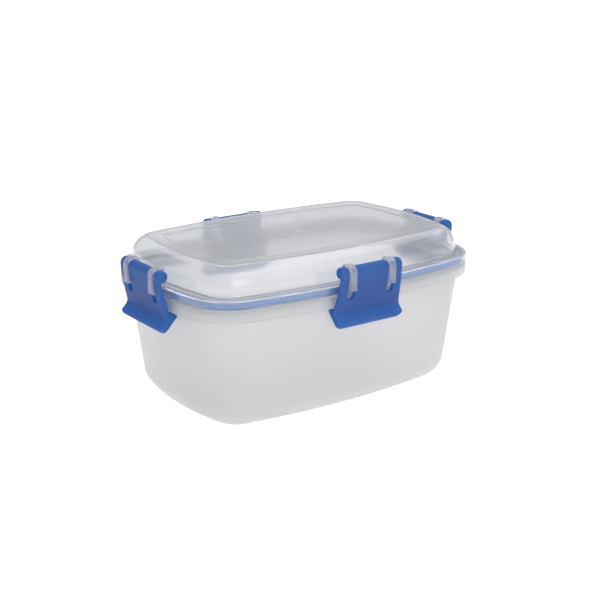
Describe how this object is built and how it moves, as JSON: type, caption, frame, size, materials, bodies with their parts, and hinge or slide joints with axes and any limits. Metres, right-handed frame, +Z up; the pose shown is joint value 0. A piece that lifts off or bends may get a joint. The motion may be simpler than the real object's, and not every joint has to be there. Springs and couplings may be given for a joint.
{
  "type": "snap lid food container",
  "caption": "Rectangular food container with bowed sides, a domed clear lid with a gasket, and a hinged snap clip on each side.",
  "frame": {"origin": "centre of the foot ring's underside, on the surface that the container stands on", "axes": "+Z up, X along the container's length, -Y towards the long side with the front clip"},
  "size_m": [0.2194, 0.1504, 0.0973],
  "materials": {
    "frosted_tub": "translucent frosted polypropylene, smooth outside",
    "clear_lid": "clear slightly milky polypropylene, glossy",
    "gasket_rubber": "soft blue silicone, satin",
    "clip_plastic": "blue moulded polypropylene, satin"
  },
  "bodies": {
    "tub": {"tub": "frosted_tub"},
    "lid": {"lid": "clear_lid", "seal_gasket": "gasket_rubber"},
    "clip_front": {"clip_front": "clip_plastic"},
    "clip_back": {"clip_back": "clip_plastic"},
    "clip_left": {"clip_left": "clip_plastic"},
    "clip_right": {"clip_right": "clip_plastic"}
  },
  "joints": [
    {"name": "lid_lift", "type": "slide", "parent": "tub", "child": "lid", "axis": [0, 0, 1], "range_m": [0, 0.12]},
    {"name": "clip_front_hinge", "type": "hinge", "parent": "lid", "child": "clip_front", "pos_m": [0, -0.0709, 0.0894], "axis": [-1, 0, 0], "range_deg": [0, 140]},
    {"name": "clip_back_hinge", "type": "hinge", "parent": "lid", "child": "clip_back", "pos_m": [0, 0.0709, 0.0894], "axis": [1, 0, 0], "range_deg": [0, 140]},
    {"name": "clip_left_hinge", "type": "hinge", "parent": "lid", "child": "clip_left", "pos_m": [-0.1054, 0, 0.0894], "axis": [0, 1, 0], "range_deg": [0, 140]},
    {"name": "clip_right_hinge", "type": "hinge", "parent": "lid", "child": "clip_right", "pos_m": [0.1054, 0, 0.0894], "axis": [0, -1, 0], "range_deg": [0, 140]}
  ]
}
